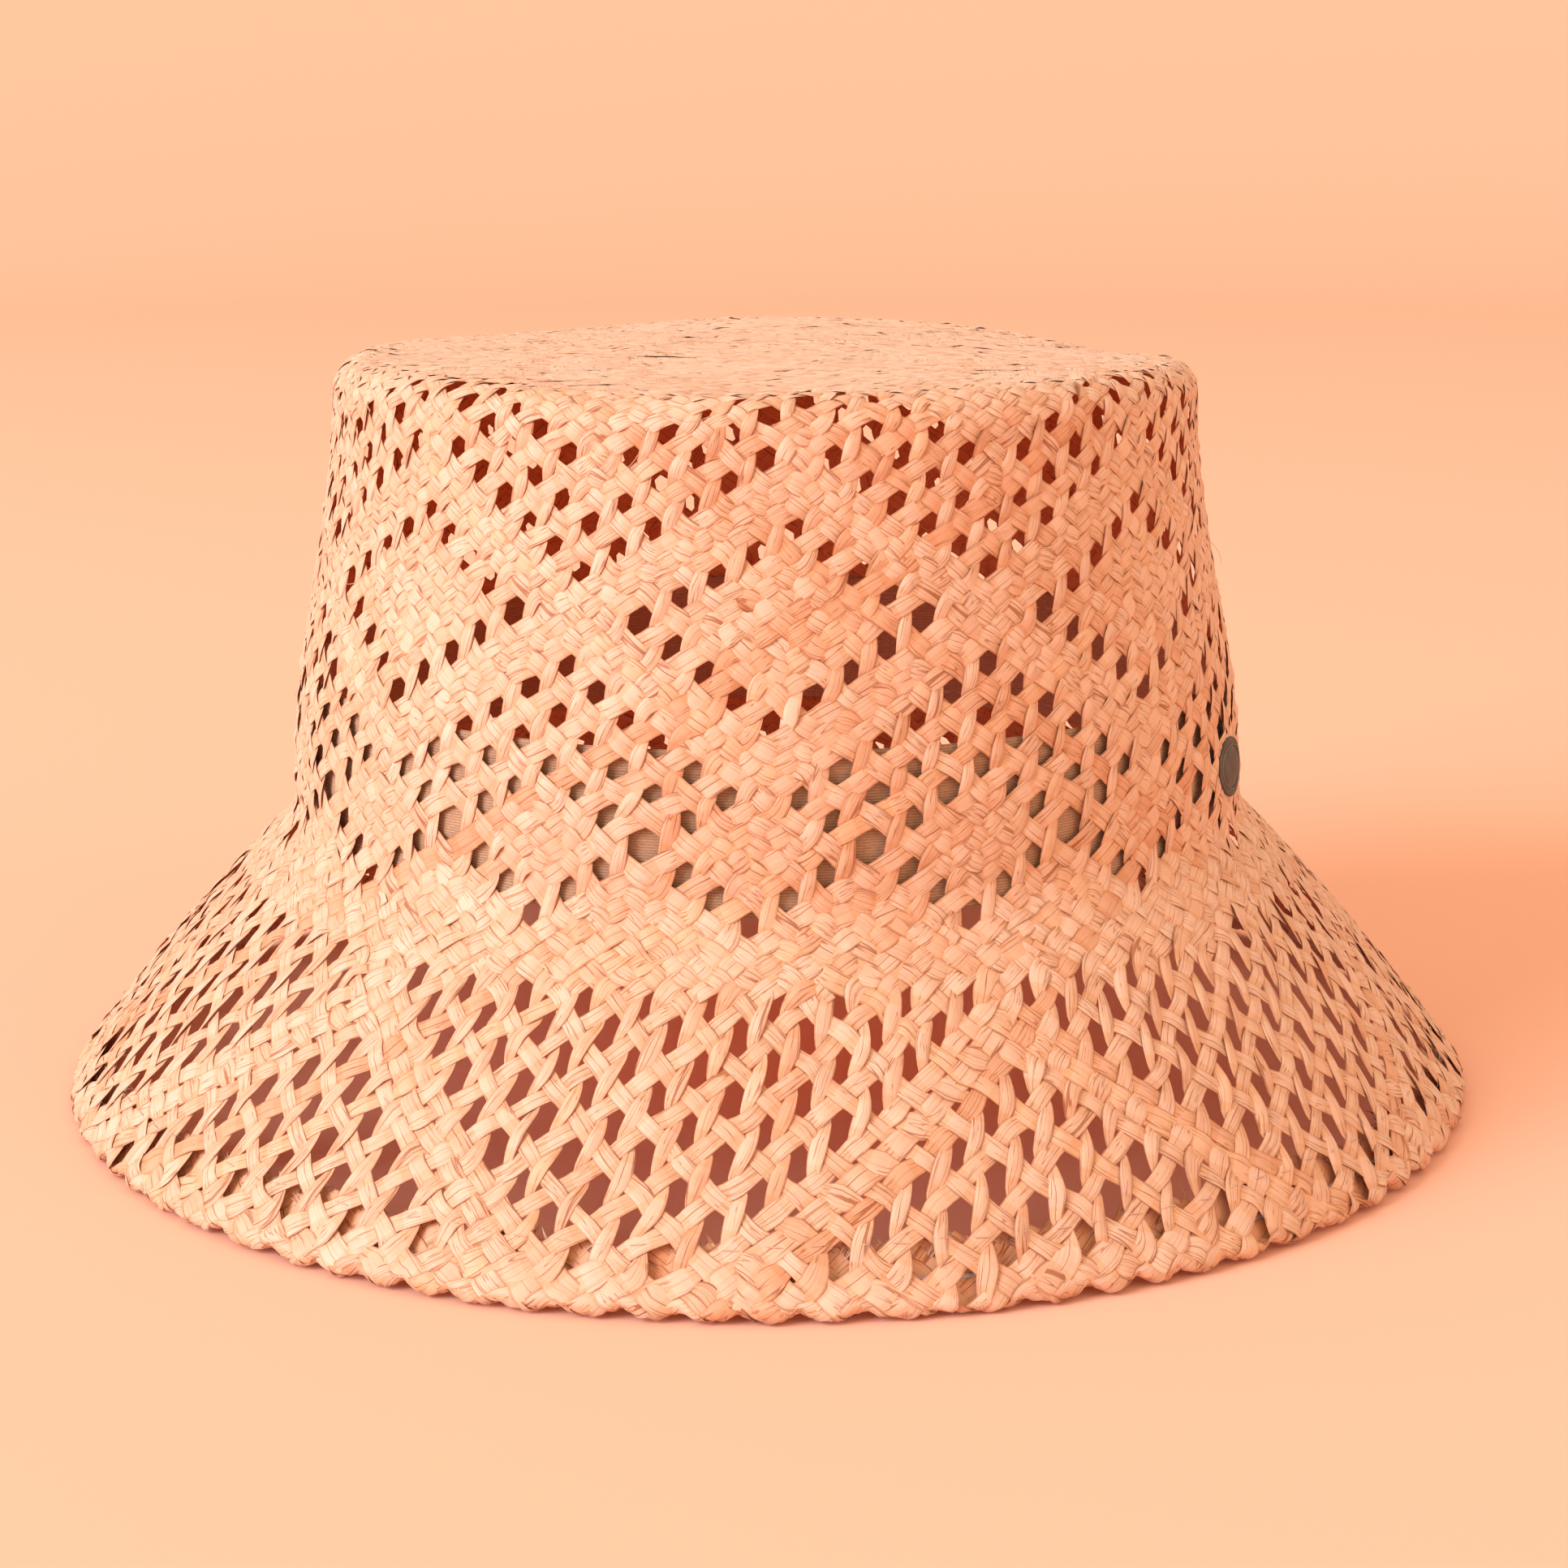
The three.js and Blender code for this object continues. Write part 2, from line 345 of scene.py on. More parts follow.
def makeBraid():
    rows = makeRows()
    for row in rows:
        row["free"] = "theta" not in row
        row.setdefault("hole", [0] * row["count"])
    rows[0]["theta"] = np.arange(rows[0]["count"]) * 2 * math.pi / rows[0]["count"]
    for i in range(len(rows) - 1):
        linkRows(rows[i], rows[i + 1], (i * braid["ringTurn"]) % 1)
    settleRows(rows)
    for row in rows:
        row["place"] = np.full(row["count"], row["s"])
        row["radius"] = float(np.interp(row["s"], line["s"], line["point"][:, 0]))
    # holes push the nodes round them apart
    moves = [np.zeros((row["count"], 2)) for row in rows]
    for i, row in enumerate(rows):
        for j in np.flatnonzero(row["hole"]):
            reach, spread, lean = holeKinds[row["hole"][j]]
            if row["hole"][j] in (1, 5):
                reach += braid["reachVary"] * rng.standard_normal()
                lean *= rng.uniform(*braid["leanVary"])
            for k in range(max(i - braid["holeRows"], 0), min(i + braid["holeRows"] + 1, len(rows))):
                dx = around(rows[k]["theta"] - row["theta"][j]) * row["radius"]
                dy = np.full(len(dx), rows[k]["s"] - row["s"])
                near = np.exp(0.5 - (dx ** 2 + dy ** 2) / (2 * spread ** 2)) / spread
                push = (dx * reach - dy * lean) * near, braid["pushDown"] * dy * reach * near
                moves[k] += np.stack(push, 1)
    for row, move in zip(rows, moves):
        jitter = braid["jitter"][row["part"]] * rng.standard_normal((row["count"], 2))
        if row["part"] == "top":
            jitter *= min(1, row["radius"] / braid["middleCalm"])
        move = move + jitter
        row["theta"] = row["theta"] + move[:, 0] / row["radius"]
        row["place"] = row["place"] + move[:, 1]
    return rows


rows = makeBraid()
print("braid:", len(rows), "rows,", sum(row["count"] for row in rows), "nodes,",
      sum(np.count_nonzero(row["hole"]) for row in rows), "holes")


def followStrand(rows, i, m, way):
    # the crossings that a strand passes, each with its row, node, and way down
    path = [(i, m, way)]
    while i + 1 < len(rows):
        m = int(rows[i]["goRight" if way > 0 else "goLeft"][m])
        i += 1
        if rows[i]["hole"][m]:
            way = -way
        else:
            path.append((i, m, way))
    return path


strands = []
for i, row in enumerate(rows[:-3]):
    for m in range(row["count"]):
        if i == 0 or row["fromLeft"][m] < 0:
            strands += [followStrand(rows, i, m, 1), followStrand(rows, i, m, -1)]
print("strands:", len(strands))

# how open the weave is at each node, from the holes beside it
for i, row in enumerate(rows):
    hole = np.array(row["hole"]) > 0
    row["open"] = (np.roll(hole, 1) | np.roll(hole, -1)) * 1.0
    if row["level"] % 2 and 0 < i < len(rows) - 1:
        above, below = np.array(rows[i - 1]["hole"]) > 0, np.array(rows[i + 1]["hole"]) > 0
        row["open"] = (0.5 * (above[row["fromLeft"]] | above[row["fromRight"]])
                       + 0.5 * (below[row["goLeft"]] | below[row["goRight"]]))

# The strands, each a flat raffia leaf: what differs between the top, side, fold, brim and edge
strandParts = {
    "fill": (1.46, 1.17, 1.16, 1.12, 1.24),         # share of the room between two neighbours that it fills
    "widest": (5.6 * mm, 4.2 * mm, 4.6 * mm, 4.5 * mm, 5.4 * mm),
    "openNarrow": (0, 0.09, 0.12, 0.28, 0.2),       # how much narrower it is near a hole
    "petalOver": (0.93, 0.75, 0.93, 0.88, 0.9),     # its width beside a hole, on top of a neighbour
    "flatShare": (0.2, 0.12, 0.12, 0.12, 0.12),     # share of a stretch that lies flat past a crossing
    "diveShare": (0.6, 0.5, 0.5, 0.5, 0.5),         # and in which it then dives
    "jog": (0, 0.6 * mm, 0.6 * mm, 0.9 * mm, 0.3 * mm),
    "rise": (0.09 * mm, 0.15 * mm, 0.15 * mm, 0.15 * mm, 0.15 * mm),
    "droop": (0.18 * mm, 0.05 * mm, 0.07 * mm, 0.05 * mm, 0.05 * mm),    # how far its edges bend down
    "steps": (3, 4, 4, 4, 7),
}
partNames = ("top", "side", "fold", "brim", "edge")
strand = {key: dict(zip(partNames, values)) for key, values in strandParts.items()}
strand.update({
    "narrowest": 1.5 * mm,
    "petalUnder": 0.50,           # width beside a hole, where the strand is under a neighbour
    "petalCrown": 2.2,            # how much more a petal bulges
    "jogRadius": 20 * mm,         # nearer the middle the sideways step gets no wider
    "hidden": 0.9 * mm,           # half of the stretch in which that step is made, under a neighbour
    "waist": 0.05,                # how much narrower it is between two crossings
    "crown": 0.08 * mm,           # how thick the leaf's upper side bulges
    "shoulder": 0.58,             # how far out the bulge's flat top reaches
    "belly": 0.10 * mm,
    "leastRadius": 4 * mm,
    "flatWithin": 8 * mm,         # strips are quite flat there, and follow the hat from twice as far out
    "petalSteps": 5,
    "jogSteps": 2,
    "uvLength": 10 * mm,
    "uvShift": 37,
})
# How a strand varies on its own: the size of each change, and over how many rings it comes and goes
uneven = {"own": 0.07, "width": (0.05, 9), "widthLimits": (0.82, 1.12), "rise": (0.12, 6),
          "roll": (math.radians(3.5), 5), "petalRoll": (math.radians(9), 11),
          "bulge": (0.35, 4), "bulgeLimits": (0.25, 1.7), "shoulder": (0.12, 7)}


def spline(values, steps):
    # a smooth line through the values, with its own number of steps in each stretch
    padded = np.concatenate([[2 * values[0] - values[1]], values, [2 * values[-1] - values[-2]]])
    out = []
    for k, count in enumerate(steps):
        t = np.arange(count) / count
        a, b, c, d = padded[k:k + 4]
        out.append(0.5 * (2 * b + (c - a) * t + (2 * a - 5 * b + 4 * c - d) * t ** 2
                          + (3 * b - a - 3 * c + d) * t ** 3))
    out.append([values[-1]])
    return np.concatenate(out)


def slowNoise(count, size, every):
    knots = rng.standard_normal(int(count / every) + 3)
    return size * np.interp(np.arange(count) / every, np.arange(len(knots)), knots)


def wayOf(path):
    # the strand's own points, with a step sideways where it hides under a neighbour between two holes
    points = []
    i, m, way = path[0]
    if i == 0:
        # it starts in the middle of the top, which closes the weave there
        points.append({"theta": rows[0]["theta"][m], "place": braid["startPlace"], "part": "top",
                       "over": -1.0 if way > 0 else 1.0, "width": strand["narrowest"],
                       "toHole": False, "stepAside": False})
    for k, (i, m, way) in enumerate(path):
        row, part = rows[i], rows[i]["part"]
        fromHole = k > 0 and i - path[k - 1][0] > 1
        toHole = k + 1 < len(path) and path[k + 1][0] - i > 1
        over = (way > 0) == (row["level"] % 2 == 0)
        across = 2 * math.pi / row["count"] * row["radius"]
        across *= 1 + braid["frontWiden"] * math.cos(row["theta"][m])
        first, last = max(i - 1, 0), min(i + 1, len(rows) - 1)
        down = (rows[last]["s"] - rows[first]["s"]) / (last - first)
        room = across * down / math.hypot(across / 2, down)
        width = min(max(room * strand["fill"][part], strand["narrowest"]), strand["widest"][part])
        width *= 1 - strand["openNarrow"][part] * row["open"][m]
        if fromHole or toHole:
            width *= strand["petalOver"][part] if over else strand["petalUnder"]
        jog = 0 if over else strand["jog"][part] / max(row["radius"], strand["jogRadius"])
        point = {"theta": row["theta"][m], "place": row["place"][m], "part": part,
                 "over": 1.0 if over else -1.0, "width": width, "toHole": toHole, "stepAside": False}
        if fromHole and toHole and not over:
            points += [{**point, "theta": point["theta"] + side * jog,
                        "place": point["place"] + side * strand["hidden"],
                        "toHole": side > 0, "stepAside": side < 0} for side in (-1, 1)]
        else:
            points.append({**point, "theta": point["theta"] + 0.5 * jog * (int(toHole) - int(fromHole))})
    return points


def unitRows(vectors):
    return vectors / np.maximum(np.linalg.norm(vectors, axis=1), tiny)[:, None]


def leafOf(path):
    # one strand as rings of five points, with the part that each ring belongs to
    way = wayOf(path)
    theta, place, over, width, petals = (np.array([point[key] for point in way])
                                         for key in ("theta", "place", "over", "width", "toHole"))
    parts = [point["part"] for point in way]
    steps = [strand["jogSteps"] if point["stepAside"] else strand["petalSteps"] if point["toHole"]
             else strand["steps"][point["part"]] for point in way[:-1]]
    count = sum(steps) + 1
    own = 1 + uneven["own"] * rng.standard_normal()
    theta, place = spline(np.unwrap(theta), steps), spline(place, steps)
    share = np.concatenate([np.arange(n) / n for n in steps] + [[1]])
    stretch = np.append(np.repeat(np.arange(len(steps)), steps), len(steps) - 1)
    ease = eased(share)
    partRise, partDroop, flatShare, diveShare = (
        np.array([strand[key][part] for part in parts])[stretch]
        for key in ("rise", "droop", "flatShare", "diveShare"))
    before, after, petal = over[stretch], over[stretch + 1], petals[stretch]
    rising = before < after
    steep = np.clip((np.where(rising, 1 - share, share) - flatShare) / diveShare, 0, 1)
    steep = np.where(petal, ease, np.where(rising, 1 - steep, steep))
    lift = before * (1 - steep) + after * steep
    wide = width[stretch] * (1 - ease) + width[stretch + 1] * ease
    wide = wide * np.where(petal, 1, 1 - strand["waist"] * np.sin(math.pi * share) ** 2)
    wide = wide * np.clip(own + slowNoise(count, *uneven["width"]), *uneven["widthLimits"])
    rise = partRise * (1 + slowNoise(count, *uneven["rise"]))
    roll = slowNoise(count, *uneven["roll"]) + slowNoise(count, *uneven["petalRoll"]) * petal
    crown = strand["crown"] * (1 + strand["petalCrown"] * petal * np.clip(lift, 0, 1))
    left, right = (crown * np.clip(1 + slowNoise(count, *uneven["bulge"]), *uneven["bulgeLimits"])
                   for side in range(2))
    shift = slowNoise(count, *uneven["shoulder"])
    half = wide / 2
    # each ring's points, across the strand and up from it
    across = np.stack([-half, -half * (strand["shoulder"] + shift), half * (strand["shoulder"] - shift),
                       half, np.zeros(count)], 1)
    droop = -partDroop * np.clip(lift, 0, 1)
    height = np.stack([droop, left, right, droop, np.full(count, -strand["belly"])], 1)
    height = height + (lift * rise)[:, None] + across * np.sin(roll)[:, None]
    # flat strips near the middle of the top, and strips that follow the hat's surface everywhere else
    point, normal = surfaceAt(theta, place)
    side = unitRows(np.cross(unitRows(np.gradient(point, axis=0)), normal))
    flat = point[:, None] + side[:, None] * across[..., None] + normal[:, None] * height[..., None]
    radius = np.maximum(np.interp(place, line["s"], line["point"][:, 0]), strand["leastRadius"])
    turned, down = np.gradient(theta) * radius, np.gradient(place)
    size = np.maximum(np.hypot(turned, down), tiny)
    laid, laidNormal = surfaceAt(theta[:, None] - across * (down / size / radius)[:, None],
                                 place[:, None] + across * (turned / size)[:, None])
    laid = laid + laidNormal * height[..., None]
    weight = np.clip((radius - strand["flatWithin"]) / strand["flatWithin"], 0, 1)[:, None, None]
    rings = flat * (1 - weight) + laid * weight
    # the strand is cut off somewhere in the inner leaf
    last = np.searchsorted(place, line["s"][-1] - hatLine["leafCut"] * rng.random() ** 1.4)
    return rings[:last], lengthAlong(point)[:last], [parts[k] for k in stretch[:last]], lift[:last]


def joinLeaves(name, pieces):
    # many leaves in one mesh, each closed at both ends, with its own run of UV and its own tone
    verts, faces, uvs, tones, lifts, ends = [], [], [], [], [], []
    base = 0
    across = np.array([0, 0.21, 0.79, 1.0, 1.5, 2.0])
    k = np.arange(5)
    for rings, length, lift, tone in pieces:
        count = len(rings)
        verts.append(rings.reshape(-1, 3))
        tones.append(np.full(count * 5, tone))
        lifts.append(np.repeat(lift, 5))
        ends.append(np.repeat(np.isin(np.arange(count), (0, count - 1)), 5))
        ring = np.arange(count - 1)[:, None] * 5 + base
        a, b = ring + k, ring + (k + 1) % 5
        faces += np.stack([a, b, b + 5, a + 5], -1).reshape(-1, 4).tolist()
        last = base + (count - 1) * 5
        faces += [[base + 4 - n for n in range(5)], [last + n for n in range(5)]]
        v = length / strand["uvLength"] + strand["uvShift"] * tone
        uv = np.empty((count - 1, 5, 4, 2))
        uv[..., 0] = np.stack([across[:5], across[1:], across[1:], across[:5]], 1)
        uv[..., :2, 1], uv[..., 2:, 1] = v[:-1, None, None], v[1:, None, None]
        firstCap, lastCap = (np.stack([across[:5] / 2, np.full(5, end)], 1) for end in (v[0], v[-1]))
        uvs += [uv.reshape(-1, 2), firstCap[::-1], lastCap]
        base += count * 5
    mesh = bpy.data.meshes.new(name)
    mesh.from_pydata(np.concatenate(verts), [], faces)
    mesh.uv_layers.new(name="leaf").data.foreach_set("uv", np.concatenate(uvs).ravel())
    for attribute, values in (("tone", tones), ("lift", lifts)):
        mesh.attributes.new(attribute, "FLOAT", "POINT").data.foreach_set("value", np.concatenate(values))
    mesh.shade_smooth()
    # the leaves' long edges and ends stay crisp
    pairs = np.empty(len(mesh.edges) * 2, int)
    mesh.edges.foreach_get("vertices", pairs)
    first, second = pairs.reshape(-1, 2).min(1), pairs.reshape(-1, 2).max(1)
    atEnd = np.concatenate(ends)
    crisp = (second - first == 5) & ((first % 5 == 0) | (first % 5 == 3))
    crisp |= (second - first < 5) & atEnd[first] & atEnd[second]
    mesh.attributes.new("sharp_edge", "BOOLEAN", "EDGE").data.foreach_set("value", crisp)
    obj = bpy.data.objects.new(name, mesh)
    bpy.context.scene.collection.objects.link(obj)
    return obj


# Where a strand ends inside the brim it is frayed into splinters, bent each by its own share
fray = {"splinters": 4, "length": 2.6 * mm, "spread": 0.28, "width": 0.55 * mm, "thickness": 0.12 * mm,
        "points": 4, "bend": 0.25, "rootBack": 0.4 * mm, "lengths": (0.35, 1.2), "widths": (0.7, 1.5)}
# Here and there a thin fibre has come loose from a leaf's edge and curls outwards
fibre = {"share": 0.22, "length": 5 * mm, "width": 0.16 * mm, "curl": 1.1, "points": 7, "tone": 0.9,
         "lengths": (0.5, 1.3), "curls": (0.5, 1.6), "aside": (0.2, 0.9), "out": (0.25, 0.7)}
# splinters and fibres stand high enough in the lift that the straw's painted dive shade leaves them out
sliverLift = 0.6        # where splinters and fibres stand in the straw's dive tone


def unit(vector):
    return vector / np.linalg.norm(vector)


def sliverRings(point, across, out, half, lift, shoulder, belly):
    # rings of five points round a thin sliver's own line
    return np.stack([point - across * half, point - across * half * shoulder + out * lift,
                     point + across * half * shoulder + out * lift, point + across * half,
                     point - out * lift * belly], 1)


def splinterOf(root, along, across, out, length, width):
    share = np.linspace(0, 1, fray["points"])[:, None]
    bend = rng.standard_normal(2) * fray["bend"]
    point = root + length * (along * share + (across * bend[0] + out * bend[1]) * share ** 2)
    half = width / 2 * (1 - 0.85 * share)
    lift = fray["thickness"] * (1 - 0.7 * share)
    rings = sliverRings(point, across, out, half, lift, 0.5, 0.5)
    return rings, share[:, 0] * length, np.full(fray["points"], sliverLift)


def frayedEnd(rings):
    end = rings[-1].mean(0)
    along = unit(end - rings[-3].mean(0))
    across = rings[-1][3] - rings[-1][0]
    width = np.linalg.norm(across)
    across /= width
    out = np.cross(along, across)
    for k in range(fray["splinters"]):
        share = (k + 0.5 + 0.3 * rng.standard_normal()) / fray["splinters"] - 0.5
        root = end + across * share * width * 0.8 - along * fray["rootBack"]
        way = unit(along + across * (share * 0.5 + fray["spread"] * rng.standard_normal() * 0.6)
                   + out * fray["spread"] * rng.standard_normal() * 0.5)
        length = fray["length"] * rng.uniform(*fray["lengths"])
        yield splinterOf(root, way, across, out, length, fray["width"] * rng.uniform(*fray["widths"]))


def looseFibre(rings, k):
    share = np.linspace(0, 1, fibre["points"])[:, None]
    along = unit(rings[k + 1].mean(0) - rings[k - 1].mean(0))
    across = unit(rings[k][3] - rings[k][0])
    out = np.cross(across, along)
    if out @ (rings[k][1] - rings[k][4]) < 0:
        out = -out
    side = rng.choice((-1, 1))
    length = fibre["length"] * rng.uniform(*fibre["lengths"])
    turn = fibre["curl"] * rng.uniform(*fibre["curls"]) * share
    point = rings[k][3 if side > 0 else 0] + length * (
        along * np.sin(turn) / fibre["curl"]
        + side * across * (1 - np.cos(turn)) * rng.uniform(*fibre["aside"])
        + out * share * (1.25 - share) * rng.uniform(*fibre["out"]))
    half, lift = fibre["width"] / 2 * (1 - 0.6 * share), fibre["width"] / 3 * (1 - 0.6 * share)
    fibreRings = sliverRings(point, across, out, half, lift, 0.4, 1)
    return fibreRings, share[:, 0] * length, np.full(fibre["points"], sliverLift)


# The pieces of the weave, with the CAD nodes that each one stands for
sidePieces = {1: "crown_side_weave_right", -1: "crown_side_weave_left"}
pieceOf = {"top": "crown_top_weave", "fold": "fold_weave", "brim": "brim_weave", "edge": "edge_weave"}
nodesOf = {"crown_top_weave": ["crown"], sidePieces[1]: ["crown"], sidePieces[-1]: ["crown"],
           "fold_weave": ["crown", "brim"], "brim_weave": ["brim"], "edge_weave": ["brim_edge"],
           "frayed_ends": []}
weavePieces = {name: [] for name in nodesOf}
for path in strands:
    rings, length, partOf, lift = leafOf(path)
    tone = rng.random()
    # the crown's side is halved by the way that its strands run
    entry = next((way for i, m, way in path if rows[i]["part"] == "side"), 1)
    start = 0
    for part, run in groupby(partOf):
        stop = start + len(list(run))
        piece = slice(start, min(stop + 1, len(partOf)))        # one ring more, so that the pieces meet
        if piece.stop - piece.start > 2:
            leaf = rings[piece], length[piece], lift[piece], tone
            weavePieces[pieceOf.get(part, sidePieces[entry])].append(leaf)
        start = stop
    weavePieces["frayed_ends"] += [(*splinter, rng.random()) for splinter in frayedEnd(rings)]
    if rng.random() < fibre["share"]:
        loose = looseFibre(rings, rng.integers(8, len(rings) - 60))
        weavePieces["frayed_ends"].append((*loose, fibre["tone"]))
weave = {name: joinLeaves(name, pieces) for name, pieces in weavePieces.items()}
for name, obj in weave.items():
    print("weave:", name, sum(len(p.vertices) - 2 for p in obj.data.polygons), "triangles")


# Materials
white, black = (1, 1, 1), (0, 0, 0)


def newMaterial(name):
    material = bpy.data.materials.new(name)
    material.use_nodes = True
    nodes = material.node_tree.nodes
    return material, nodes, nodes["Principled BSDF"]


def setInputs(node, inputs):
    # each input takes a constant or another node's output
    for name, value in inputs.items():
        if isinstance(value, bpy.types.NodeSocket):
            node.id_data.links.new(value, node.inputs[name])
        else:
            node.inputs[name].default_value = value


def addNode(nodes, kind, inputs):
    node = nodes.new("ShaderNode" + kind)
    setInputs(node, inputs)
    return node


def objectPlace(nodes):
    # the piece's own coordinates, in metres
    return nodes.new("ShaderNodeTexCoord").outputs["Object"]


def addAttribute(nodes, name):
    node = nodes.new("ShaderNodeAttribute")
    node.attribute_name = name
    return node.outputs["Fac"]


def addNoise(nodes, place, scale, detail, stretch=white):
    mapping = addNode(nodes, "Mapping", {"Vector": place, "Scale": stretch})
    noise = addNode(nodes, "TexNoise", {"Vector": mapping.outputs["Vector"], "Scale": scale,
                                        "Detail": detail})
    return noise.outputs["Fac"]


def addMath(nodes, operation, value, other):
    node = addNode(nodes, "Math", {0: value, 1: other})
    node.operation = operation
    return node.outputs["Value"]


def addRamp(nodes, value, stops):
    node = addNode(nodes, "ValToRGB", {"Fac": value})
    elements = node.color_ramp.elements
    for element, (position, colour) in zip(elements, (stops[0], stops[-1])):
        element.position = position
        element.color = (*colour, 1)
    for position, colour in stops[1:-1]:
        elements.new(position).color = (*colour, 1)
    return node.outputs["Color"]


def addMix(nodes, a, b, share=1, kind="MULTIPLY"):
    node = nodes.new("ShaderNodeMix")
    node.data_type = "RGBA"
    node.blend_type = kind
    setInputs(node, {"Factor": share, "A": a, "B": b})
    return node.outputs["Result"]


def addBump(nodes, height, strength, distance, normal=None):
    node = addNode(nodes, "Bump", {"Height": height, "Strength": strength, "Distance": distance})
    if normal:
        setInputs(node, {"Normal": normal})
    return node.outputs["Normal"]


strawLook = {
    "tones": [(0, (0.63, 0.325, 0.20)), (0.12, (0.66, 0.39, 0.27)), (0.5, (0.68, 0.425, 0.31)),
              (0.85, (0.695, 0.46, 0.35)), (1, (0.68, 0.395, 0.25))],
    "patchTones": [(0.32, (0.93, 0.85, 0.78)), (0.5, white), (0.72, (1, 0.97, 0.94))],
    "fibreTones": [(0.30, (0.86, 0.76, 0.67)), (0.50, white), (0.68, white)],
    # painted light on the leaves' inner sides: deeper and redder on the straw, for the shade and the red
    # glow inside the hat, and lighter on the edge's straw, against the shade in the folded edge's gap
    "back": {"straw": (0.96, 0.66, 0.46), "straw_edge": (1.14, 1.0, 0.9)},    # the leaves' inner sides
    # painted shade in the leaf's creases and folds: their colours, and where across the noise the lines lie
    "crease": (0.56, 0.36, 0.25),
    "creaseAt": (0.474, 0.483, 0.494, 0.503),
    "fold": (0.68, 0.49, 0.37),
    "foldAt": (0.487, 0.495, 0.505, 0.513),
    # painted shade along the leaves' thin edges, and below how much of it is used
    "edge": (0.62, 0.36, 0.20),
    "edgeShadeShare": 0.62,
    # painted shade where a strand dives under its neighbour, and below how much of it is used
    "dive": (0.95, 0.84, 0.71),
    "diveShare": 0.8,
    "fibreShare": 0.7,
    "rough": (0.42, 0.66),
    # scale, detail, and how often each noise repeats across and along a leaf
    "noises": {"fibres": (1.7, 3, (14, 0.8, 1)), "creases": (1.25, 0.6, (1.6, 0.22, 1)),
               "folds": (1.4, 1, (3.4, 0.36, 1)), "places": (1.0, 1, (1.5, 1.1, 1)),
               "patches": (1.0, 2, (0.6, 1.1, 1))},
}


def strawMaterial(slot):
    material, nodes, shader = newMaterial("raffia_" + slot)
    uvMap = nodes.new("ShaderNodeUVMap")
    uvMap.uv_map = "leaf"
    uv = uvMap.outputs["UV"]
    noise = {name: addNoise(nodes, uv, *values) for name, values in strawLook["noises"].items()}

    def shadeLines(noiseName, name, fadeStops):
        # thin lines of painted shade in the leaf's creases and folds, where the noise crosses its middle,
        # which come and go along the leaf
        colour = strawLook[name]
        stops = list(zip(strawLook[name + "At"], (white, colour, colour, white)))
        lines = addRamp(nodes, noise[noiseName], stops)
        return addMix(nodes, (*white, 1), lines, addRamp(nodes, noise["places"], fadeStops), "MIX")

    creaseShade = shadeLines("creases", "crease", [(0.44, white), (0.58, black)])
    foldShade = shadeLines("folds", "fold", [(0.37, black), (0.52, white)])
    # painted shade: the leaf's thin edges and the ends that dive under a neighbour are browner, as in the
    # shade between leaves
    across = addNode(nodes, "SeparateXYZ", {"Vector": uv}).outputs["X"]
    edgeShadeTone = addRamp(nodes, addMath(nodes, "PINGPONG", across, 0.5),
                       [(0.0, strawLook["edge"]), (0.034, strawLook["edge"]), (0.075, white)])
    # painted light and shade on the leaves' inner sides, past U 1
    backLightAndShade = addRamp(nodes, addMath(nodes, "MULTIPLY", across, 0.5),
                       [(0.5, white), (0.52, strawLook["back"][slot])])
    # painted shade where the lift goes below zero, under a neighbour
    diveShadeTone = addRamp(nodes, addAttribute(nodes, "lift"), [(0.0, strawLook["dive"]), (0.25, white)])
    colour = addRamp(nodes, addAttribute(nodes, "tone"), strawLook["tones"])
    for tone, share in ((addRamp(nodes, noise["patches"], strawLook["patchTones"]), 1),
                        (addRamp(nodes, noise["fibres"], strawLook["fibreTones"]), strawLook["fibreShare"]),
                        (creaseShade, 1), (foldShade, 1), (edgeShadeTone, strawLook["edgeShadeShare"]),
                        (diveShadeTone, strawLook["diveShare"]), (backLightAndShade, 1)):
        colour = addMix(nodes, colour, tone, share)
    smooth, rough = strawLook["rough"]
    roughness = addNode(nodes, "MapRange", {"Value": noise["fibres"], "To Min": smooth, "To Max": rough})
    fineBump = addBump(nodes, noise["fibres"], 0.25, 0.06 * mm)
    grooves = addBump(nodes, addMix(nodes, creaseShade, foldShade), 0.7, 0.25 * mm, fineBump)
    setInputs(shader, {"Base Color": colour, "Roughness": roughness.outputs["Result"],
                       "Specular IOR Level": 0.35, "Sheen Weight": 0.08, "Sheen Roughness": 0.5,
                       "Normal": grooves})
    return material


straw = {slot: strawMaterial(slot) for slot in ("straw", "straw_edge")}
for name, obj in weave.items():
    slot = "straw_edge" if name in ("edge_weave", "frayed_ends") else "straw"
    obj.data.materials.append(straw[slot])
    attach(obj, "root")
    if nodesOf[name]:
        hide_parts(*nodesOf[name])


def radiusAt(height):
    # the weave's middle at a height on the crown's side
    low, high = hatLine["sideSpan"]
    side = (line["s"] > low) & (line["s"] < high)
    return float(np.interp(-height, -line["point"][side, 1], line["point"][side, 0]))


def addObject(name, operator, **values):
    bpy.ops.object.select_all(action="DESELECT")
    operator(**values)
    obj = bpy.context.active_object
    obj.name = name
    return obj


def startEdit():
    bpy.ops.object.mode_set(mode="EDIT")
    bpy.ops.mesh.select_all(action="SELECT")


def endEdit():
    bpy.ops.mesh.select_all(action="SELECT")
    bpy.ops.mesh.normals_make_consistent(inside=False)
    bpy.ops.object.mode_set(mode="OBJECT")


def addModifier(obj, name, kind, **values):
    modifier = obj.modifiers.new(name, kind)
    for key, value in values.items():
        setattr(modifier, key, value)


def cloudTexture(name, size):
    clouds = bpy.data.textures.new(name, "CLOUDS")
    clouds.noise_scale = size
    return clouds


